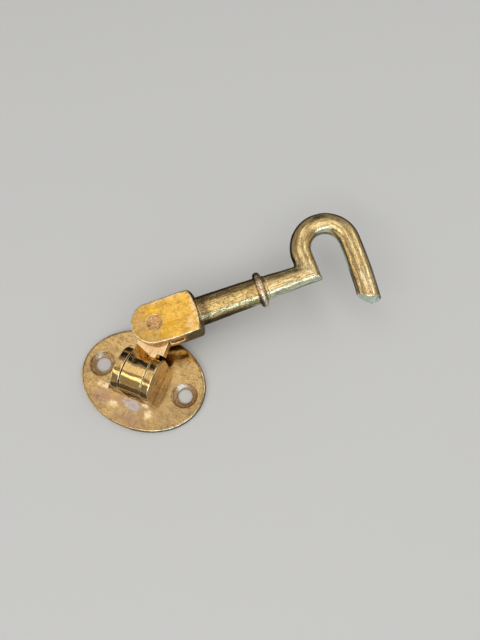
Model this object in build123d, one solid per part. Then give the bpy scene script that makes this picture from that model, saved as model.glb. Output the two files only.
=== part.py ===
from build123d import *
import math
import os

# A cast-brass cabin hook with a universal joint: an oval back plate, two lugs, a link
# that turns on a pin between them, and a fork, rod and hook that swing on the link.
# Millimetres and degrees. Origin at the centre of the back plate's rear face, +Z out of
# the wall, +X along the line of the two screw holes, +Y towards the link.

# Back plate
PLATE_HALF_LENGTH = 22.0
PLATE_HALF_WIDTH = 17.0
PLATE_THICKNESS = 2.5
PLATE_EDGE_RADIUS = 0.7
SCREW_SPACING = 31.0
SCREW_HOLE_RADIUS = 2.5
COUNTERSINK_RADIUS = 4.3

# Lugs: round-topped ears, each with a tenon riveted into the plate
LUG_RADIUS = 7.2
LUG_THICKNESS = 2.8
LUG_GAP = 7.6
LUG_EDGE_CHAMFER = 0.25
TENON_THICKNESS = 1.8
TENON_LENGTH = 9.0

# The left lug's foot spreads outwards where it meets the plate
FOOT_REACH = 3.2
FOOT_HEIGHT = 6.0
FOOT_LIP = 0.5
FOOT_HOLLOW = 0.3

# Hinge pin through the lugs, flush with their outer faces
PIN_HEIGHT = 10.0
PIN_RADIUS = 2.0
RUNNING_CLEARANCE = 0.05

# Universal link: a barrel between the lugs and a flat tongue turned a quarter turn to it
SIDE_CLEARANCE = 0.15
BARREL_RADIUS = 6.9
PIN_SPACING = 17.0
TONGUE_WIDTH = 10.1
TONGUE_OFFSET = 0.85
TONGUE_THICKNESS = 4.6
TONGUE_START = 8.1
NECK_CREST = 4.55
RIDGE_LEFT = 8.9
RIDGE_RIGHT = 6.0

# Fork head with its slot, and the rivet that joins it to the tongue
FORK_WIDTH = 14.2
FORK_DEPTH = 12.5
FORK_END_RADIUS = 7.1
FORK_END_OFFSET_X = -0.5
FORK_END_OFFSET_Y = 0.4
FORK_LENGTH = 14.0
FORK_EDGE_RADIUS = 0.5
SHOULDER_RADIUS = 24.8
SHOULDER_TIP = 15.0
SLOT_DEPTH = 7.2
SLOT_CORNER_RADIUS = 1.0
RIVET_RADIUS = 2.0
RIVET_HEAD_RADIUS = 2.5
RIVET_FLARE_DEPTH = 0.8

# Tapered arm rod with its collar
ROD_START_RADIUS = 4.95
ROD_END_RADIUS = 4.45
ROD_SPIGOT_RADIUS = 3.0
ROD_SPIGOT_LENGTH = 5.0
COLLAR_CENTRE = 36.0
COLLAR_HALF_WIDTH = 1.25
COLLAR_RADIUS = 6.1
ROD_SEAM = 38.2
SEAM_RADIUS = 4.25

# Hook rod: thinner rod, mitred corner and a half-round bend
HOOK_ROD_RADIUS = 4.1
WIRE_RADIUS = 3.6
HOOK_SPIGOT_RADIUS = 2.3
HOOK_SPIGOT_LENGTH = 8.0
LEG_X = 52.95
BEND_RADIUS = 8.4
BEND_HEIGHT = 6.4
TIP_X = 67.9
TIP_Y = -20.0
TIP_CUT_X = 68.5
TIP_CUT_Y = -15.6
TIP_CUT_ANGLE = -12.0
TIP_CUT_TILT = -12.0
TIP_CHAMFER = 0.4

# Resting pose: the link leans out of the plate and the arm is swung to one side
LINK_LEAN = 9.0
ARM_SWING = 50.0

CUT = 60.0
LINK_PLACE = Location((0, 0, PIN_HEIGHT), (LINK_LEAN, 0, 0))
ARM_PLACE = LINK_PLACE * Location((0, PIN_SPACING, 0), (0, 0, 90 - ARM_SWING))


def rod_along_x(x, length, radius):
    """A cylinder along X that starts at x."""
    rod = Cylinder(radius, length, align=(Align.CENTER, Align.CENTER, Align.MIN))
    return Pos(x, 0, 0) * Rot(0, 90, 0) * rod


def turned(points):
    """A solid of revolution about X from (x, radius) points, the last joined to the first."""
    outline = make_face(Polyline(*points, close=True))
    return revolve(outline, axis=Axis.X)


def back_plate():
    plate = extrude(Ellipse(PLATE_HALF_LENGTH, PLATE_HALF_WIDTH), PLATE_THICKNESS)
    plate = fillet(plate.edges().group_by(Axis.Z)[-1], PLATE_EDGE_RADIUS)
    flare = COUNTERSINK_RADIUS - SCREW_HOLE_RADIUS
    for side in (-1, 1):
        hole = Cylinder(SCREW_HOLE_RADIUS, CUT)
        top = (Align.CENTER, Align.CENTER, Align.MAX)
        sink = Cone(SCREW_HOLE_RADIUS, COUNTERSINK_RADIUS, flare, align=top)
        plate -= Pos(side * SCREW_SPACING / 2, 0, 0) * (hole + Pos(0, 0, PLATE_THICKNESS) * sink)
        plate -= Pos(side * lug_centre(), 0, 0) * Box(TENON_THICKNESS, TENON_LENGTH, CUT)
    return plate


def lug_centre():
    return (LUG_GAP + LUG_THICKNESS) / 2


def lug(side):
    rise = PIN_HEIGHT - PLATE_THICKNESS
    profile = Circle(LUG_RADIUS) + Pos(0, -rise / 2) * Rectangle(2 * LUG_RADIUS, rise)
    body = extrude(Plane.YZ * profile, LUG_THICKNESS / 2, both=True)
    outer = body.faces().sort_by(Axis.X)[-1 if side > 0 else 0]
    round_edges = outer.edges().filter_by(GeomType.CIRCLE)
    body = chamfer(round_edges, LUG_EDGE_CHAMFER)
    if side < 0:
        body += spread_foot(rise)
    below = (Align.CENTER, Align.CENTER, Align.MAX)
    tenon = Box(TENON_THICKNESS, TENON_LENGTH, PLATE_THICKNESS, align=below)
    body += Pos(0, 0, -rise) * tenon
    body -= Rot(0, 90, 0) * Cylinder(PIN_RADIUS, CUT)
    return Pos(side * lug_centre(), 0, PIN_HEIGHT) * body


def spread_foot(rise):
    """The left lug's hollow-curved outer foot, from just below the pin down to the plate."""
    inner = -LUG_THICKNESS / 2 + LUG_EDGE_CHAMFER
    face = -LUG_THICKNESS / 2
    end = face - FOOT_REACH
    middle = (face - FOOT_HOLLOW * FOOT_REACH, FOOT_HOLLOW * FOOT_HEIGHT - rise)
    edge = [
        Line((inner, -rise), (end, -rise)),
        Line((end, -rise), (end, FOOT_LIP - rise)),
        ThreePointArc((end, FOOT_LIP - rise), middle, (face, FOOT_HEIGHT - rise)),
        Line((face, FOOT_HEIGHT - rise), (inner, FOOT_HEIGHT - rise)),
        Line((inner, FOOT_HEIGHT - rise), (inner, -rise)),
    ]
    return extrude(Plane.XZ * make_face(edge), LUG_RADIUS, both=True)


def hinge_pin():
    length = LUG_GAP + 2 * LUG_THICKNESS
    return Pos(0, 0, PIN_HEIGHT) * rod_along_x(-length / 2, length, PIN_RADIUS)


def neck_section(ridge, x):
    """The neck's side outline: full height at the barrel, tongue height past the ridge."""
    crest = math.sqrt(BARREL_RADIUS ** 2 - NECK_CREST ** 2)
    half = TONGUE_THICKNESS / 2
    far = TONGUE_START + 2.0
    upper = [(0, crest), (NECK_CREST, crest), (ridge, half), (far, half)]
    lower = [(far, -half), (TONGUE_START, -half), (NECK_CREST, -crest), (0, -crest)]
    return Pos(x, 0, 0) * (Plane.YZ * make_face(Polyline(*upper, *lower, close=True)))


def universal_link():
    half_barrel = LUG_GAP / 2 - SIDE_CLEARANCE
    link = rod_along_x(-half_barrel, 2 * half_barrel, BARREL_RADIUS)
    link += loft([neck_section(RIDGE_LEFT, -half_barrel), neck_section(RIDGE_RIGHT, half_barrel)], ruled=True)
    run = PIN_SPACING - TONGUE_START
    slab = Pos(0, -run / 2) * Rectangle(TONGUE_WIDTH, run) + Circle(TONGUE_WIDTH / 2)
    slab = extrude(slab, TONGUE_THICKNESS / 2, both=True)
    link += Pos(TONGUE_OFFSET, PIN_SPACING, 0) * slab
    link -= rod_along_x(-CUT / 2, CUT, PIN_RADIUS + RUNNING_CLEARANCE)
    link -= Pos(0, PIN_SPACING, 0) * Cylinder(RIVET_RADIUS + RUNNING_CLEARANCE, CUT)
    return LINK_PLACE * link


def fork_outline():
    """The cheek seen face on: a round end whose centre sits a little off the rivet."""
    half = FORK_WIDTH / 2
    left, up = FORK_END_OFFSET_X, FORK_END_OFFSET_Y
    meet = left - math.sqrt(FORK_END_RADIUS ** 2 - (half - up) ** 2)
    edge = [
        Line((FORK_LENGTH + 3, half), (meet, half)),
        ThreePointArc((meet, half), (left - FORK_END_RADIUS, up), (left, up - FORK_END_RADIUS)),
        Line((left, up - FORK_END_RADIUS), (half / 2, -half)),
        Line((half / 2, -half), (FORK_LENGTH + 3, -half)),
        Line((FORK_LENGTH + 3, -half), (FORK_LENGTH + 3, half)),
    ]
    return make_face(edge)


def shoulder_dome():
    """A large-radius dome that closes the head towards the rod."""
    centre = SHOULDER_TIP - SHOULDER_RADIUS
    return Pos(centre, 0, 0) * Sphere(SHOULDER_RADIUS)


def rivet_space(radius, head_radius):
    """The rivet's shank with a flared head at each cheek face."""
    half = FORK_DEPTH / 2
    shank = Cylinder(radius, FORK_DEPTH)
    flare = Cone(radius, head_radius, RIVET_FLARE_DEPTH, align=(Align.CENTER, Align.CENTER, Align.MAX))
    return shank + Pos(0, 0, half) * flare + Pos(0, 0, -half) * Rot(180, 0, 0) * flare


def fork_head():
    head = extrude(fork_outline(), FORK_DEPTH / 2, both=True)
    head = fillet(head.edges().group_by(Axis.Z)[-1] + head.edges().group_by(Axis.Z)[0], FORK_EDGE_RADIUS)
    head = head & shoulder_dome()
    slot_height = TONGUE_THICKNESS + 2 * SIDE_CLEARANCE
    slot = Box(CUT, CUT, slot_height, align=(Align.MAX, Align.CENTER, Align.CENTER))
    slot = fillet(slot.faces().sort_by(Axis.X)[-1].edges().filter_by(Axis.Y), SLOT_CORNER_RADIUS)
    head -= Pos(SLOT_DEPTH, 0, 0) * slot
    head -= rivet_space(RIVET_RADIUS, RIVET_HEAD_RADIUS)
    seat = SHOULDER_TIP - ROD_SPIGOT_LENGTH
    head -= rod_along_x(seat, CUT, ROD_SPIGOT_RADIUS)
    head -= rod_along_x(rod_start(), CUT, ROD_START_RADIUS)
    return ARM_PLACE * head


def rod_start():
    """Where the rod's shoulder meets the dome."""
    return SHOULDER_TIP - SHOULDER_RADIUS + math.sqrt(SHOULDER_RADIUS ** 2 - ROD_START_RADIUS ** 2)


def fork_rivet():
    return ARM_PLACE * rivet_space(RIVET_RADIUS, RIVET_HEAD_RADIUS)


def arm_rod():
    spigot_end = SHOULDER_TIP - ROD_SPIGOT_LENGTH
    start = rod_start()
    profile = [
        (spigot_end, 0),
        (spigot_end, ROD_SPIGOT_RADIUS),
        (start, ROD_SPIGOT_RADIUS),
        (start, ROD_START_RADIUS),
        (COLLAR_CENTRE - COLLAR_HALF_WIDTH / 2, ROD_END_RADIUS),
        (COLLAR_CENTRE, SEAM_RADIUS),
        (ROD_SEAM, SEAM_RADIUS),
        (ROD_SEAM, 0),
    ]
    rod = turned(profile)
    bead = Pos(COLLAR_CENTRE, COLLAR_RADIUS - COLLAR_HALF_WIDTH) * Circle(COLLAR_HALF_WIDTH)
    rod += revolve(bead, axis=Axis.X)
    rod -= rod_along_x(ROD_SEAM - HOOK_SPIGOT_LENGTH, CUT, HOOK_SPIGOT_RADIUS)
    return ARM_PLACE * rod


def mitre_side(side):
    """The space on the leg's side (+1) or the rod's side (-1) of the 45-degree mitre."""
    edge = Align.MIN if side > 0 else Align.MAX
    block = Box(2 * CUT, 2 * CUT, CUT, align=(Align.CENTER, edge, Align.CENTER))
    return Pos(LEG_X, 0, 0) * Rot(0, 0, -45) * block


def hook_wire():
    """The leg, the half-round bend and the slightly inturned point, as one swept wire."""
    start = (LEG_X, -2 * WIRE_RADIUS)
    top = (LEG_X, BEND_HEIGHT)
    leg = Line(start, top)
    bend = CenterArc((LEG_X + BEND_RADIUS, BEND_HEIGHT), BEND_RADIUS, 180, -180)
    point = TangentArc(bend @ 1, (TIP_X, TIP_Y), tangent=bend % 1)
    section = Plane(origin=(LEG_X, -2 * WIRE_RADIUS, 0), z_dir=(0, 1, 0)) * Circle(WIRE_RADIUS)
    wire = sweep(section, path=Wire([leg, bend, point]))
    waste = Box(CUT, CUT, CUT, align=(Align.CENTER, Align.MAX, Align.CENTER))
    wire -= Pos(TIP_CUT_X, TIP_CUT_Y, 0) * Rot(0, 0, TIP_CUT_ANGLE) * Rot(TIP_CUT_TILT, 0, 0) * waste
    face = wire.faces().filter_by(GeomType.PLANE).sort_by(Axis.X)[-1]
    return chamfer(face.edges(), TIP_CHAMFER)


def hook_rod():
    spigot_start = ROD_SEAM - HOOK_SPIGOT_LENGTH
    far = LEG_X + 2 * WIRE_RADIUS
    profile = [
        (spigot_start, 0),
        (spigot_start, HOOK_SPIGOT_RADIUS),
        (ROD_SEAM, HOOK_SPIGOT_RADIUS),
        (ROD_SEAM, HOOK_ROD_RADIUS),
        (LEG_X - WIRE_RADIUS, WIRE_RADIUS),
        (far, WIRE_RADIUS),
        (far, 0),
    ]
    straight = turned(profile) & mitre_side(-1)
    hook = hook_wire() & mitre_side(1)
    return ARM_PLACE * (straight + hook)


def main():
    nodes = {
        "back_plate": back_plate(),
        "left_lug": lug(-1),
        "right_lug": lug(1),
        "hinge_pin": hinge_pin(),
        "universal_link": universal_link(),
        "fork_head": fork_head(),
        "fork_rivet": fork_rivet(),
        "arm_rod": arm_rod(),
        "hook_rod": hook_rod(),
    }
    os.makedirs("parts", exist_ok=True)
    for name, shape in nodes.items():
        export_step(shape, f"parts/{name}.step")


main()
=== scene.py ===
"""Looks for a brass universal-jointed cabin hook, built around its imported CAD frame."""

import math

import bmesh
import bpy
import numpy as np
from mathutils import Matrix, Vector, noise


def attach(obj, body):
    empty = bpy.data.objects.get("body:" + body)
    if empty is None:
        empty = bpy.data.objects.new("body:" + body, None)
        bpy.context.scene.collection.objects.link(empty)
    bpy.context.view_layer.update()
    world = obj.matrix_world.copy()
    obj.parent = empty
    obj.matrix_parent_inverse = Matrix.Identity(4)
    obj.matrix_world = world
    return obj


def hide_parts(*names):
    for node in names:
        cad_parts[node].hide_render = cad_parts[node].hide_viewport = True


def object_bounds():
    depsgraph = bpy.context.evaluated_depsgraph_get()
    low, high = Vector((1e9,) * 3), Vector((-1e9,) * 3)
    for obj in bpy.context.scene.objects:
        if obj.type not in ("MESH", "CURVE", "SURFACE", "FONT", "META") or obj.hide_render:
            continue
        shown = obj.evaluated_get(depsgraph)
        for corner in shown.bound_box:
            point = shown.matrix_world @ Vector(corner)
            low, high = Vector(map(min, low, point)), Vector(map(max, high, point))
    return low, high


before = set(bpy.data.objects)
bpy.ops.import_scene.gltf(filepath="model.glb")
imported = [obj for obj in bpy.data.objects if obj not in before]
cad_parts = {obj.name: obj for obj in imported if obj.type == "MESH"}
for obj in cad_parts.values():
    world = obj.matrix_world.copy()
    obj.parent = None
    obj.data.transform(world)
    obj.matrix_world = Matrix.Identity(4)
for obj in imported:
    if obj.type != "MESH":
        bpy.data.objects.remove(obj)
cad_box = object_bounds()

MM = 0.001

# The two pivots of the hook at rest: the link leans about the hinge pin, and the arm swings
# about the fork's rivet, which the link carries.
PIN_HEIGHT = 10.0 * MM
LINK_LEAN = 9.0
PIN_SPACING = 17.0 * MM
ARM_TURN = 40.0

# The plate's face and its two countersinks, in mm. The sinks are matt from a little below the face.
PLATE_FACE = 2.5
SCREW_OFFSET = 15.5
COUNTERSINK_REACH = 4.5
SINK_DEPTH = 0.15

# The link's barrel, in mm.
BARREL_RADIUS = 6.9

# The hook's shape in the arm's own axes, in mm: x along the arm from the rivet, y to the leg's side.
LEG_X = 52.95
BEND_RADIUS = 8.4
BEND_HEIGHT = 6.4
POINT_DRIFT = 0.0027

# Surface curvature, per mm, below which nothing is rubbed, and from which the edge is bare.
GENTLE_CURVE = 0.45
SHARP_CURVE = 1.9

# Where the fork's upright corners start along and across the arm, and over how far they fade in, in mm.
CORNER_ALONG = 10.0
CORNER_ACROSS = 5.2
CORNER_FADE_ALONG = 1.5
CORNER_FADE_ACROSS = 1.0

# How far the fillet reaches from the hook's mitre, and over how far it and the nose's side fade, in mm.
MITRE_REACH = 2.56
MITRE_FADE = 1.6
NOSE_START = 1.0
NOSE_FADE = 4.0

PLATE_PLACE = Matrix.Identity(4)
LINK_PLACE = Matrix.Translation((0, 0, PIN_HEIGHT)) @ Matrix.Rotation(math.radians(LINK_LEAN), 4, "X")
ARM_PLACE = (
    LINK_PLACE
    @ Matrix.Translation((0, PIN_SPACING, 0))
    @ Matrix.Rotation(math.radians(ARM_TURN), 4, "Z")
)


# ---------------------------------------------------------------- meshes


def read_points(mesh):
    points = np.empty(len(mesh.vertices) * 3)
    mesh.vertices.foreach_get("co", points)
    return points.reshape(-1, 3)


def read_normals(mesh):
    normals = np.empty(len(mesh.vertices) * 3)
    mesh.vertex_normals.foreach_get("vector", normals)
    return normals.reshape(-1, 3)


def read_edges(mesh):
    edges = np.empty(len(mesh.edges) * 2, dtype=np.int64)
    mesh.edges.foreach_get("vertices", edges)
    return edges.reshape(-1, 2)


def neighbour_mean(edges, values):
    """The mean of each vertex's neighbours, for one value or one vector per vertex."""
    total = np.zeros_like(values)
    np.add.at(total, edges[:, 0], values[edges[:, 1]])
    np.add.at(total, edges[:, 1], values[edges[:, 0]])
    count = np.bincount(edges.ravel(), minlength=len(values))
    return total / count.reshape((-1,) + (1,) * (values.ndim - 1))


def remeshed(node, place, voxel, passes):
    """A copy of a CAD node in its own axes, in mm, as an even mesh with softened edges."""
    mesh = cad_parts[node].data.copy()
    mesh.materials.clear()
    mesh.transform(Matrix.Scale(1 / MM, 4) @ place.inverted())
    bm = bmesh.new()
    bm.from_mesh(mesh)
    bmesh.ops.remove_doubles(bm, verts=bm.verts, dist=0.001)
    bm.to_mesh(mesh)
    bm.free()
    piece = bpy.data.objects.new(f"{node}_worn", mesh)
    bpy.context.scene.collection.objects.link(piece)
    remesh = piece.modifiers.new("remesh", "REMESH")
    remesh.mode = "VOXEL"
    remesh.voxel_size = voxel
    smooth = piece.modifiers.new("smooth", "SMOOTH")
    smooth.factor = 0.5
    smooth.iterations = passes
    bpy.context.view_layer.update()
    evaluated = piece.evaluated_get(bpy.context.evaluated_depsgraph_get())
    even = bpy.data.meshes.new_from_object(evaluated)
    piece.modifiers.clear()
    piece.data = even
    return piece


def soften(piece, weight, passes):
    """Smooths a piece further where weight, from 0 to 1 per vertex, says so."""
    points = read_points(piece.data)
    edges = read_edges(piece.data)
    share = 0.5 * weight(points)[:, None]
    for _ in range(passes):
        points += share * (neighbour_mean(edges, points) - points)
    piece.data.vertices.foreach_set("co", points.ravel())
    piece.data.update()


def make_uneven(piece, height, wavelength, seed):
    """Moves each vertex a little along its normal, as on a hand-finished casting."""
    points = read_points(piece.data)
    normals = read_normals(piece.data)
    shift = Vector((seed, 1.7, 4.1))
    lift = np.array([noise.noise(Vector(p) / wavelength + shift) for p in points])
    points += normals * lift[:, None] * height
    piece.data.vertices.foreach_set("co", points.ravel())
    piece.data.update()


def store(piece, name, values):
    """Stores one number per vertex as an attribute of the mesh."""
    attribute = piece.data.attributes.new(name, "FLOAT", "POINT")
    attribute.data.foreach_set("value", values.astype(np.float32))


def mark_wear(piece, reach, amount):
    """Stores the attribute wear: 0 on flat and gently curved surface, 1 along sharp edges."""
    points = read_points(piece.data)
    edges = read_edges(piece.data)
    # On an even mesh, a vertex stands proud of its neighbours by curvature times step squared over 4.
    proud = points - neighbour_mean(edges, points)
    step = np.linalg.norm(points[edges[:, 0]] - points[edges[:, 1]], axis=1).mean()
    curvature = 4 * np.einsum("ij,ij->i", proud, read_normals(piece.data)) / step ** 2
    for _ in range(reach):
        curvature = 0.5 * curvature + 0.5 * neighbour_mean(edges, curvature)
    sharp = np.clip((curvature - GENTLE_CURVE) / (SHARP_CURVE - GENTLE_CURVE), 0, 1)
    store(piece, "wear", sharp * amount)


def mark_spots(piece, name, spots):
    """Stores an attribute that is 1 at each spot and fades out.

    A spot is (x, y, reach along x, reach along y), in the piece's own axes, in mm."""
    points = read_points(piece.data)[:, :2]
    values = np.zeros(len(points))
    for x, y, along, across in spots:
        away = (((points - (x, y)) / (along, across)) ** 2).sum(axis=1)
        values = np.maximum(values, np.exp(-away))
    store(piece, name, values)


def mark_countersinks(piece):
    """Stores the attribute matt: 1 in the plate's two countersinks, 0 elsewhere."""
    x, y, z = read_points(piece.data).T
    from_hole = np.hypot(np.abs(x) - SCREW_OFFSET, y)
    in_sink = (from_hole < COUNTERSINK_REACH) & (z < PLATE_FACE - SINK_DEPTH)
    store(piece, "matt", in_sink.astype(float))


def mark_grain(piece, grain):
    """Stores where each vertex lies along and across the brushing, in mm, as the attribute grain."""
    attribute = piece.data.attributes.new("grain", "FLOAT_VECTOR", "POINT")
    attribute.data.foreach_set("vector", grain(read_points(piece.data)).astype(np.float32).ravel())


def settle(piece, node, place, body, material):
    """Puts a piece made in mm where its node is, and gives it its body and material."""
    piece.data.transform(place @ Matrix.Scale(MM, 4))
    piece.data.shade_smooth()
    piece.data.materials.clear()
    piece.data.materials.append(material)
    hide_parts(node)
    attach(piece, body)


def straight_grain(points):
    """Grain along the piece's own x axis."""
    return points


def round_pin_grain(points):
    """Grain that runs round the hinge pin's axis, for pieces polished on the turn."""
    x, y, z = points.T
    height = z - PIN_HEIGHT / MM
    around = np.arctan2(y, height) * np.maximum(np.hypot(y, height), 1.0)
    return np.stack([around, x, np.hypot(y, height)], axis=1)


def link_grain(points):
    """Grain round the barrel, which carries on straight along the tongue."""
    x, y, z = points.T
    around = np.arctan2(y, z) * BARREL_RADIUS
    along = np.where(y > 0, np.maximum(around, y), around)
    return np.stack([along, x, z], axis=1)


def wire_path(points):
    """Distance along the hook's bent wire, offset from its centre in the hook's plane, and height."""
    x, y, z = points.T
    centre = LEG_X + BEND_RADIUS
    angle = np.arctan2(y - BEND_HEIGHT, centre - x)
    radius = np.hypot(x - centre, y - BEND_HEIGHT)
    along_bend = BEND_HEIGHT + angle * BEND_RADIUS
    past_bend = BEND_HEIGHT + math.pi * BEND_RADIUS + (BEND_HEIGHT - y)
    below = y < BEND_HEIGHT
    leg = below & (x < centre)
    point = below & (x >= centre)
    drift = POINT_DRIFT * (BEND_HEIGHT - y) ** 2
    along = np.where(leg, y, np.where(point, past_bend, along_bend))
    out = np.where(leg, centre - x, np.where(point, x - centre + drift, radius)) - BEND_RADIUS
    return along, out, z


def hook_grain(points):
    """Grain along the rod, then up the leg and round the bend."""
    x, y, z = points.T
    along, out, height = wire_path(points)
    on_rod = x - LEG_X + y < 0
    start = np.where(on_rod, LEG_X - x, along)
    return np.stack([start, np.where(on_rod, y, out), height], axis=1)


# ------------------------------------------------------------- materials


class Graph:
    """Short calls for the node graphs below. Lengths are in mm."""

    def __init__(self, name):
        self.material = bpy.data.materials.new(name)
        self.material.use_nodes = True
        self.tree = self.material.node_tree
        self.shader = self.tree.nodes["Principled BSDF"]
        self.grain = self.attribute("grain").outputs["Vector"]
        self.wear = self.attribute("wear").outputs["Fac"]
        self.polish = self.attribute("polish").outputs["Fac"]
        self.matt = self.attribute("matt").outputs["Fac"]

    def attribute(self, name):
        node = self.tree.nodes.new("ShaderNodeAttribute")
        node.attribute_name = name
        return node

    def link(self, source, target):
        self.tree.links.new(source, target)

    def scaled(self, scale, turn=(0, 0, 0)):
        """The grain coordinates, scaled along, across and through the surface."""
        node = self.tree.nodes.new("ShaderNodeMapping")
        node.inputs["Scale"].default_value = scale
        node.inputs["Rotation"].default_value = [math.radians(a) for a in turn]
        self.link(self.grain, node.inputs["Vector"])
        return node.outputs["Vector"]

    def coordinate(self, axis):
        node = self.tree.nodes.new("ShaderNodeSeparateXYZ")
        self.link(self.grain, node.inputs["Vector"])
        return node.outputs[axis]

    def noise(self, vector, detail, roughness, distortion=0.0):
        node = self.tree.nodes.new("ShaderNodeTexNoise")
        node.inputs["Scale"].default_value = 1.0
        node.inputs["Detail"].default_value = detail
        node.inputs["Roughness"].default_value = roughness
        node.inputs["Distortion"].default_value = distortion
        self.link(vector, node.inputs["Vector"])
        return node.outputs["Fac"]

    def cells(self, vector):
        node = self.tree.nodes.new("ShaderNodeTexVoronoi")
        node.inputs["Scale"].default_value = 1.0
        self.link(vector, node.inputs["Vector"])
        return node.outputs["Distance"]

    def ramp(self, value, low, high, start=0.0, end=1.0):
        node = self.tree.nodes.new("ShaderNodeMapRange")
        node.inputs["From Min"].default_value = low
        node.inputs["From Max"].default_value = high
        node.inputs["To Min"].default_value = start
        node.inputs["To Max"].default_value = end
        self.link(value, node.inputs["Value"])
        return node.outputs["Result"]

    def calc(self, operation, a, b):
        node = self.tree.nodes.new("ShaderNodeMath")
        node.operation = operation
        for socket, value in zip(node.inputs, (a, b)):
            if isinstance(value, (int, float)):
                socket.default_value = value
            else:
                self.link(value, socket)
        return node.outputs["Value"]

    def mix(self, factor, a, b):
        node = self.tree.nodes.new("ShaderNodeMix")
        node.data_type = "RGBA"
        self.link(factor, node.inputs[0])
        for socket, value in ((node.inputs[6], a), (node.inputs[7], b)):
            if isinstance(value, tuple):
                socket.default_value = (*value, 1)
            else:
                self.link(value, socket)
        return node.outputs[2]

    def openness(self, distance):
        """1 on open surface, falling to 0 deep in a corner between pieces."""
        node = self.tree.nodes.new("ShaderNodeAmbientOcclusion")
        node.samples = 6
        node.inputs["Distance"].default_value = distance * MM
        return node.outputs["AO"]

    def bump(self, height, distance, before=None):
        node = self.tree.nodes.new("ShaderNodeBump")
        node.inputs["Distance"].default_value = distance * MM
        self.link(height, node.inputs["Height"])
        if before is not None:
            self.link(before, node.inputs["Normal"])
        return node.outputs["Normal"]


def brass(
    name,
    bright,
    dull,
    tarnish_and_shade,
    dirt,
    roughness,
    streaks,
    scratches,
    relief=1.0,
    bands=(),
    patches=(),
):
    """Old brass: polished where handled, clouded and tarnished elsewhere, brushed along its grain, with
    painted shade deep in corners.

    dirt, streaks and scratches say how strongly each shows, and relief scales the bump.
    bands are (axis, from, to, colour, strength): a colour that comes in along one grain axis.
    patches are (attribute, colour, strength): a colour with a ragged outline at the attribute's spots."""
    g = Graph(name)

    # The patterns, with their repeats per mm along, across and through the surface.
    cloud = g.noise(g.scaled((0.2, 0.26, 0.26)), 6, 0.6)
    grime = g.noise(g.scaled((0.75, 1.0, 1.0)), 7, 0.68, 0.4)
    speckle = g.noise(g.scaled((1.5, 2.3, 2.3)), 3, 0.6)
    brush = g.noise(g.scaled((0.25, 2.6, 2.6)), 4, 0.62)
    scratch = g.noise(g.scaled((3.4, 0.11, 0.6), (0, 0, 37)), 2, 0.5, 0.5)
    nick = g.noise(g.scaled((0.3, 3.1, 0.6), (0, 0, 64)), 2, 0.5, 0.9)
    pit = g.cells(g.scaled((1.1, 1.5, 1.5)))

    # Grime and freckles nearly vanish where the piece is polished.
    calm = g.ramp(g.polish, 0.15, 0.75, 1.0, 0.12)

    colour = g.mix(g.ramp(cloud, 0.38, 0.62), bright, dull)
    for axis, low, high, shade, strength in bands:
        edge = g.ramp(g.coordinate(axis), low, high)
        ragged = g.calc("MULTIPLY", edge, g.ramp(speckle, 0.6, 0.44, strength * 0.35, strength))
        colour = g.mix(ragged, colour, shade)
    for spot, shade, strength in patches:
        ragged = g.calc("ADD", g.attribute(spot).outputs["Fac"], g.ramp(grime, 0.35, 0.65, 0.3, -0.4))
        colour = g.mix(g.ramp(ragged, 0.2, 0.8, 0.0, strength), colour, shade)
    stain = g.calc("MULTIPLY", g.calc("MULTIPLY", g.ramp(grime, 0.48, 0.66), dirt), calm)
    colour = g.mix(stain, colour, tarnish_and_shade)
    freckle = g.calc("MULTIPLY", g.ramp(speckle, 0.55, 0.66), dirt)
    colour = g.mix(g.calc("MULTIPLY", freckle, calm), colour, tarnish_and_shade)
    colour = g.mix(g.calc("MULTIPLY", g.ramp(brush, 0.5, 0.64), streaks), colour, tarnish_and_shade)
    colour = g.mix(g.calc("MULTIPLY", g.ramp(brush, 0.46, 0.34), streaks), colour, bright)
    line = g.calc("MAXIMUM", g.ramp(scratch, 0.6, 0.66), g.ramp(nick, 0.6, 0.66))
    line = g.calc("MULTIPLY", line, g.ramp(grime, 0.56, 0.46))
    colour = g.mix(g.calc("MULTIPLY", line, scratches), colour, PALE_EDGE)
    pit_floor = g.calc("MULTIPLY", g.ramp(pit, 0.26, 0.12), g.ramp(cloud, 0.42, 0.58))
    colour = g.mix(g.calc("MULTIPLY", pit_floor, dirt), colour, tuple(c * 0.5 for c in tarnish_and_shade))
    rubbed = g.calc("MULTIPLY", g.ramp(g.wear, 0.15, 0.6), g.ramp(grime, 0.62, 0.45, 0.35, 1.0))
    colour = g.mix(rubbed, colour, PALE_EDGE)
    # Painted shade: deep in corners between pieces the colour darkens towards a fifth of the tarnish
    # colour.
    corner_shade = g.ramp(g.openness(0.9), 0.6, 0.05)
    colour = g.mix(corner_shade, colour, tuple(c * 0.2 for c in tarnish_and_shade))
    g.link(colour, g.shader.inputs["Base Color"])

    rough = g.ramp(cloud, 0.35, 0.65, roughness * 0.8, roughness * 1.25)
    rough = g.calc("ADD", rough, g.calc("MULTIPLY", stain, 0.2))
    rough = g.calc("ADD", rough, g.ramp(brush, 0.3, 0.7, -0.05, 0.07))
    rough = g.calc("MULTIPLY", rough, g.ramp(g.polish, 0.15, 0.75, 1.0, 0.5))
    g.link(g.calc("ADD", rough, g.ramp(g.matt, 0.0, 1.0, 0.0, 0.3)), g.shader.inputs["Roughness"])

    normal = g.bump(brush, (0.09 * streaks + 0.005) * relief)
    normal = g.bump(line, 0.015 * scratches, normal)
    normal = g.bump(g.ramp(pit, 0.05, 0.3), 0.05 * dirt * relief, normal)
    normal = g.bump(g.calc("MULTIPLY", speckle, calm), 0.09 * dirt * relief, normal)
    normal = g.bump(g.calc("MULTIPLY", grime, calm), 0.05 * dirt * relief, normal)
    g.link(normal, g.shader.inputs["Normal"])
    g.shader.inputs["Metallic"].default_value = 1.0
    return g.material
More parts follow.
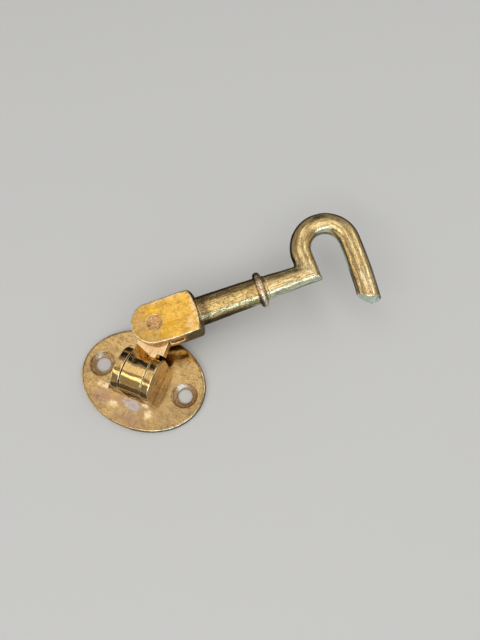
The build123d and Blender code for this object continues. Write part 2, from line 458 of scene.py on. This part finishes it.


# Colours that several materials share: rubbed edges, a dark and a greenish painted shade, and a
# near-white painted highlight.
PALE_EDGE = (0.94, 0.76, 0.42)
UMBER_SHADE = (0.05, 0.03, 0.014)
OLIVE_SHADE = (0.16, 0.13, 0.06)
WHITE_HIGHLIGHT = (0.98, 0.97, 0.87)

PLATE_BRASS = brass(
    "plate_brass",
    bright=(0.54, 0.345, 0.13),
    dull=(0.38, 0.24, 0.105),
    tarnish_and_shade=(0.17, 0.10, 0.05),
    dirt=0.6,
    roughness=0.11,
    streaks=0.12,
    scratches=0.2,
    relief=0.3,
    bands=(("Y", -2.0, 6.0, (0.60, 0.39, 0.15), 0.9), ("Z", 2.3, 1.8, (0.94, 0.67, 0.40), 0.9)),
    # Painted reflection: the first three patches are the lugs' and barrel's blurred reflections in the
    # plate; the last is painted shade beside the right lug.
    patches=(
        ("rosy", (0.40, 0.22, 0.14), 0.8),
        ("grey_reflection", (0.44, 0.38, 0.37), 0.9),
        ("cream_highlight", (0.90, 0.68, 0.40), 0.85),
        ("olive_shade", (0.27, 0.20, 0.09), 0.8),
    ),
)
LUG_BRASS = brass(
    "lug_brass",
    bright=(0.62, 0.40, 0.15),
    dull=(0.51, 0.32, 0.11),
    tarnish_and_shade=(0.18, 0.10, 0.04),
    dirt=0.4,
    roughness=0.08,
    streaks=0.1,
    scratches=0.15,
    relief=0.6,
    # Painted shade: the bands darken each lug's rounded front, more strongly further down.
    bands=(("X", -4.5, -7.0, (0.46, 0.31, 0.14), 0.7), ("X", -7.0, -8.6, (0.26, 0.17, 0.08), 0.8)),
)
LINK_BRASS = brass(
    "link_brass",
    bright=(0.74, 0.48, 0.18),
    dull=(0.64, 0.39, 0.13),
    tarnish_and_shade=(0.24, 0.13, 0.06),
    dirt=0.25,
    roughness=0.09,
    streaks=0.1,
    scratches=0.15,
    relief=0.6,
    bands=(
        ("X", 1.5, 4.5, (0.82, 0.60, 0.34), 0.8),
        # Painted shade: the next two bands darken the barrel's rounded front, more strongly further down.
        ("X", -5.6, -7.0, (0.40, 0.26, 0.11), 0.9),
        ("X", -7.2, -8.4, (0.13, 0.08, 0.03), 1.0),
    ),
    patches=(("rosy", (0.74, 0.43, 0.23), 0.7),),
)
FORK_BRASS = brass(
    "fork_brass",
    bright=(0.86, 0.50, 0.085),
    dull=(0.76, 0.41, 0.06),
    tarnish_and_shade=(0.40, 0.20, 0.05),
    dirt=0.55,
    roughness=0.25,
    streaks=0.06,
    scratches=0.12,
    bands=(("X", 4.0, -6.0, (0.42, 0.24, 0.08), 0.8), ("Z", 5.9, 5.0, (0.72, 0.50, 0.22), 1.0)),
    patches=(
        ("tan", (0.56, 0.36, 0.14), 0.75),
        ("amber", (0.66, 0.34, 0.02), 0.75),
        ("yellow", (0.98, 0.55, 0.02), 0.8),
        # The last patches paint a highlight along the face's +y edge and its end towards the rod.
        ("peach_highlight", (0.90, 0.60, 0.28), 0.75),
    ),
)
RIVET_METAL = brass(
    "rivet_metal",
    bright=(0.74, 0.40, 0.16),
    dull=(0.48, 0.25, 0.10),
    tarnish_and_shade=(0.18, 0.09, 0.045),
    dirt=0.95,
    roughness=0.34,
    streaks=0.2,
    scratches=0.3,
)
ROD_BRASS = brass(
    "rod_brass",
    bright=(0.88, 0.62, 0.24),
    dull=(0.72, 0.48, 0.17),
    tarnish_and_shade=(0.14, 0.085, 0.035),
    dirt=0.95,
    roughness=0.16,
    streaks=0.7,
    scratches=0.15,
    relief=0.8,
    # Painted shade: darker brown over the rod's +y half, umber along its +y edge and greenish along its
    # -y edge; the last band paints an umber shadow where the rod meets the fork.
    bands=(
        ("Y", -0.4, 1.8, (0.28, 0.18, 0.08), 0.95),
        ("Y", 3.2, 4.2, UMBER_SHADE, 1.0),
        ("Y", -3.2, -4.4, OLIVE_SHADE, 0.8),
        ("X", 18.4, 16.8, UMBER_SHADE, 0.9),
    ),
    # The patch paints a highlight round the collar.
    patches=(("cream_highlight", (0.96, 0.74, 0.52), 0.9),),
)
HOOK_BRASS = brass(
    "hook_brass",
    bright=(0.90, 0.68, 0.32),
    dull=(0.74, 0.52, 0.21),
    tarnish_and_shade=(0.24, 0.15, 0.07),
    dirt=0.6,
    roughness=0.16,
    streaks=0.8,
    scratches=0.15,
    relief=0.7,
    # Painted shade and highlight: darker brown to umber over the rod's +y side and the outside of the
    # arch, a near-white highlight along the -y side and the inside of the arch, and near white on the
    # point's cut end.
    bands=(
        ("Y", 0.6, 2.2, (0.50, 0.36, 0.18), 0.8),
        ("Y", 2.7, 3.7, UMBER_SHADE, 0.9),
        ("Y", -2.4, -3.4, WHITE_HIGHLIGHT, 0.45),
        ("X", 54.0, 54.8, WHITE_HIGHLIGHT, 1.0),
    ),
    # The patches paint a pale gold highlight at the hook's root and on its point.
    patches=(("golden_highlight", (0.98, 0.78, 0.44), 0.8),),
)
PIN_BRASS = brass(
    "pin_brass",
    bright=(0.74, 0.49, 0.18),
    dull=(0.58, 0.36, 0.12),
    tarnish_and_shade=(0.18, 0.10, 0.045),
    dirt=0.4,
    roughness=0.28,
    streaks=0.15,
    scratches=0.1,
)

# --------------------------------------------------------------- pieces


def worn(node, place, voxel, passes, height, wavelength, seed):
    """A CAD node with softened edges and a slightly uneven surface, in mm."""
    piece = remeshed(node, place, voxel, passes)
    make_uneven(piece, height, wavelength, seed)
    return piece


def finish_piece(piece, node, place, body, material, grain, wear=1.0, reach=3):
    """Marks a piece's worn edges and its grain, and settles it in its place."""
    mark_wear(piece, reach, wear)
    mark_grain(piece, grain)
    settle(piece, node, place, body, material)


def far_corners(points):
    """1 at the fork's two upright corners on the rod's side, fading to 0 away from them."""
    x, y, _ = points.T
    along = np.clip((x - CORNER_ALONG) / CORNER_FADE_ALONG, 0, 1)
    across = np.clip((np.abs(y) - CORNER_ACROSS) / CORNER_FADE_ACROSS, 0, 1)
    return along * across


def near_corner(points):
    """1 at the inside of the hook's mitred corner, fading to 0 away from it and towards the nose."""
    x, y, _ = points.T
    from_mitre = np.abs((x - LEG_X) + y) / math.sqrt(2)
    inside = np.clip((y - (x - LEG_X) + NOSE_START) / NOSE_FADE, 0, 1)
    return np.clip((MITRE_REACH - from_mitre) / MITRE_FADE, 0, 1) * inside


plate = worn("back_plate", PLATE_PLACE, voxel=0.25, passes=5, height=0.05, wavelength=5.0, seed=3.1)
mark_spots(plate, "polish", ((0.0, -9.0, 11.0, 6.0), (9.0, -2.0, 5.0, 9.0)))
# Painted reflections: the lugs' and barrel's blurred mirror images on the plate in front of them, as
# darker pink and silvery marks and pale reflected highlights.
mark_spots(plate, "rosy", ((-10.5, -10.2, 4.2, 2.2), (-4.2, -9.0, 1.4, 2.0), (1.0, -14.2, 5.5, 1.6)))
mark_spots(plate, "grey_reflection", ((0.1, -9.2, 3.6, 2.1),))
mark_spots(
    plate,
    "cream_highlight",
    ((-5.9, -11.2, 1.7, 1.1), (4.6, -7.9, 1.3, 0.7), (6.7, -10.5, 1.3, 1.5), (-11.2, -6.6, 3.0, 0.9)),
)
# Painted shade: a dark stripe beside the right lug's outer face, and a small spot further back.
mark_spots(plate, "olive_shade", ((8.9, -1.5, 0.55, 8.0), (10.2, 9.0, 1.0, 1.3)))
mark_countersinks(plate)
finish_piece(plate, "back_plate", PLATE_PLACE, "plate", PLATE_BRASS, straight_grain)

for side, seed in (("left_lug", 11.2), ("right_lug", 17.9)):
    lug = worn(side, PLATE_PLACE, voxel=0.16, passes=6, height=0.09, wavelength=3.0, seed=seed)
    finish_piece(lug, side, PLATE_PLACE, "plate", LUG_BRASS, round_pin_grain)

pin = worn("hinge_pin", PLATE_PLACE, voxel=0.15, passes=3, height=0.02, wavelength=2.0, seed=23.4)
finish_piece(pin, "hinge_pin", PLATE_PLACE, "plate", PIN_BRASS, round_pin_grain)

link = worn("universal_link", LINK_PLACE, voxel=0.15, passes=5, height=0.08, wavelength=3.0, seed=29.8)
mark_spots(link, "rosy", ((1.2, 9.4, 4.0, 1.6),))
finish_piece(link, "universal_link", LINK_PLACE, "link", LINK_BRASS, link_grain)

fork = remeshed("fork_head", ARM_PLACE, voxel=0.18, passes=9)
soften(fork, far_corners, passes=45)
make_uneven(fork, height=0.06, wavelength=4.0, seed=37.6)
mark_spots(fork, "tan", ((-4.4, 0.4, 2.2, 3.6), (-1.2, -4.6, 2.6, 1.6)))
mark_spots(fork, "amber", ((4.8, -2.2, 3.6, 1.3), (2.4, -4.8, 2.2, 1.0)))
mark_spots(fork, "yellow", ((0.4, 4.0, 2.2, 0.9),))
# Painted highlight: pale patches along the face's +y edge and its end towards the rod.
mark_spots(fork, "peach_highlight", ((11.2, -4.0, 1.6, 2.4), (6.0, 6.4, 9.0, 0.7), (13.3, 0.0, 0.8, 6.0)))
finish_piece(fork, "fork_head", ARM_PLACE, "arm", FORK_BRASS, straight_grain, wear=1.5, reach=9)

rivet = worn("fork_rivet", ARM_PLACE, voxel=0.12, passes=4, height=0.08, wavelength=0.9, seed=41.3)
finish_piece(rivet, "fork_rivet", ARM_PLACE, "arm", RIVET_METAL, straight_grain, wear=0.3)

rod = worn("arm_rod", ARM_PLACE, voxel=0.18, passes=5, height=0.06, wavelength=3.0, seed=47.7)
# Painted highlight: a pale ring round the collar.
mark_spots(rod, "cream_highlight", ((36.0, -1.0, 1.2, 7.0),))
finish_piece(rod, "arm_rod", ARM_PLACE, "arm", ROD_BRASS, straight_grain, wear=0.7)

hook = remeshed("hook_rod", ARM_PLACE, voxel=0.2, passes=5)
soften(hook, near_corner, passes=40)
make_uneven(hook, height=0.08, wavelength=4.0, seed=53.9)
# Painted highlight: pale gold at the hook's root and on its point.
mark_spots(hook, "golden_highlight", ((53.6, 0.4, 3.0, 2.6), (70.0, -10.0, 3.4, 5.5)))
finish_piece(hook, "hook_rod", ARM_PLACE, "arm", HOOK_BRASS, hook_grain, wear=0.7)

# ------------------------------------------------ floor, lights, camera

MIDDLE = (cad_box[0] + cad_box[1]) / 2
FLOOR_REACH = 1.5


def soft_lamp(name, offset, width, height, radiance, colour=(1, 1, 1)):
    """An area lamp that faces the hook's middle from an offset, of a given brightness per area."""
    data = bpy.data.lights.new(name, "AREA")
    data.shape = "RECTANGLE"
    data.size = width
    data.size_y = height
    data.energy = math.pi * width * height * radiance
    data.color = colour
    lamp = bpy.data.objects.new(name, data)
    lamp.location = MIDDLE + Vector(offset)
    lamp.rotation_euler = (MIDDLE - lamp.location).to_track_quat("-Z", "Y").to_euler()
    bpy.context.scene.collection.objects.link(lamp)
    return lamp


def paper(name, low, high, colour, roughness):
    """A flat sheet of paper from low to high, of one colour, that isn't part of the hook."""
    mesh = bpy.data.meshes.new(name)
    (x0, y0), (x1, y1) = low, high
    mesh.from_pydata([(x0, y0, 0), (x1, y0, 0), (x1, y1, 0), (x0, y1, 0)], [], [(0, 1, 2, 3)])
    material = bpy.data.materials.new(f"{name}_paper")
    material.use_nodes = True
    shader = material.node_tree.nodes["Principled BSDF"]
    shader.inputs["Base Color"].default_value = (*colour, 1)
    shader.inputs["Roughness"].default_value = roughness
    mesh.materials.append(material)
    sheet = bpy.data.objects.new(name, mesh)
    bpy.context.scene.collection.objects.link(sheet)
    return sheet


def pale_floor():
    low = (-FLOOR_REACH, -FLOOR_REACH)
    high = (FLOOR_REACH, FLOOR_REACH)
    floor = paper("floor", low, high, colour=(0.72, 0.72, 0.71), roughness=0.95)
    shader = floor.data.materials[0].node_tree.nodes["Principled BSDF"]
    shader.inputs["Specular IOR Level"].default_value = 0.1


def card(name, place, colour, low, high):
    """A matt card, in its own axes, that only the metal's reflections see."""
    sheet = paper(name, low, high, colour, roughness=1.0)
    sheet.matrix_world = place
    sheet.visible_camera = False
    sheet.visible_diffuse = False
    sheet.visible_shadow = False


pale_floor()
soft_lamp("lamp_above_plate", (-0.24, 0.04, 0.62), 0.5, 0.32, 0.8)
soft_lamp("lamp_above_arm", (0.22, -0.15, 0.62), 0.42, 0.7, 0.92)
soft_lamp("lamp_front", (-0.09, -0.42, 0.45), 0.6, 0.15, 2.3)
soft_lamp("lamp_behind_right", (0.36, 0.36, 0.48), 0.4, 0.28, 1.3)

# These two show only as reflections in the metal.
lamp_window = soft_lamp("lamp_window", (0.41, -0.51, 0.22), 0.8, 0.14, 7.0, (0.32, 0.55, 1.0))
lamp_window.visible_diffuse = False
lamp_left = soft_lamp("lamp_left", (-0.5, -0.32, 0.07), 0.5, 0.1, 1.6, (1.0, 0.93, 0.78))
lamp_left.visible_diffuse = False

BLACK = (0.02, 0.02, 0.02)
GREY = (0.15, 0.15, 0.15)
PALE_BLUE = (0.62, 0.86, 1.0)

wall_place = Matrix.Translation((-0.46, 1.2, 0.85)) @ Matrix.Rotation(math.radians(90), 4, "X")
card("card_behind", wall_place, BLACK, (-0.17, -0.65), (0.17, 0.7))

# On the floor, in the axes of the arm: along it from the rivet, and towards the hook's arch.
arm_floor = (
    Matrix.Translation((0, PIN_SPACING, 0.5 * MM))
    @ Matrix.Rotation(math.radians(ARM_TURN), 4, "Z")
)
card("card_under_rod", arm_floor, BLACK, (-0.02, 0.003), (0.048, 0.3))
card("card_under_arch", arm_floor, BLACK, (0.048, 0.024), (0.3, 0.3))
card("card_under_fork", arm_floor, GREY, (-0.02, -0.06), (0.034, 0.003))
card("card_under_bend", arm_floor, PALE_BLUE, (0.048, 0.004), (0.078, 0.016))
card("card_under_point", arm_floor, GREY, (0.048, -0.012), (0.078, 0.004))
card("card_beside_hook", arm_floor, PALE_BLUE, (0.034, -0.12), (0.078, -0.012))
card("card_past_hook", arm_floor, GREY, (0.078, -0.05), (0.3, 0.024))
card("card_in_front", Matrix.Translation((0, 0, 0.6 * MM)), GREY, (-0.03, -0.3), (0.03, -0.018))

ROOM_LIGHT = (0.42, 0.415, 0.405)

world = bpy.data.worlds.new("studio")
world.use_nodes = True
world.node_tree.nodes["Background"].inputs["Color"].default_value = (*ROOM_LIGHT, 1)
bpy.context.scene.world = world
bpy.context.scene.view_settings.view_transform = "Standard"

CAMERA_PLACE = Vector((45.332, -22.598, 170.036)) * MM
CAMERA_AIM = Vector((-0.12475, 0.30641, -0.94369))
CAMERA_RIGHT = Vector((0.93248, 0.36117, -0.00600))

SENSOR_HEIGHT = 24
LENS = 18.75
NEAREST = 5 * MM

camera_data = bpy.data.cameras.new("camera")
camera_data.sensor_fit = "VERTICAL"
camera_data.sensor_height = SENSOR_HEIGHT
camera_data.lens = LENS
camera_data.clip_start = NEAREST
camera = bpy.data.objects.new("camera", camera_data)
backward = -CAMERA_AIM.normalized()
upward = backward.cross(CAMERA_RIGHT).normalized()
sideways = upward.cross(backward)
camera_turn = Matrix((sideways, upward, backward)).transposed().to_4x4()
camera.matrix_world = Matrix.Translation(CAMERA_PLACE) @ camera_turn
bpy.context.scene.collection.objects.link(camera)
bpy.context.scene.camera = camera
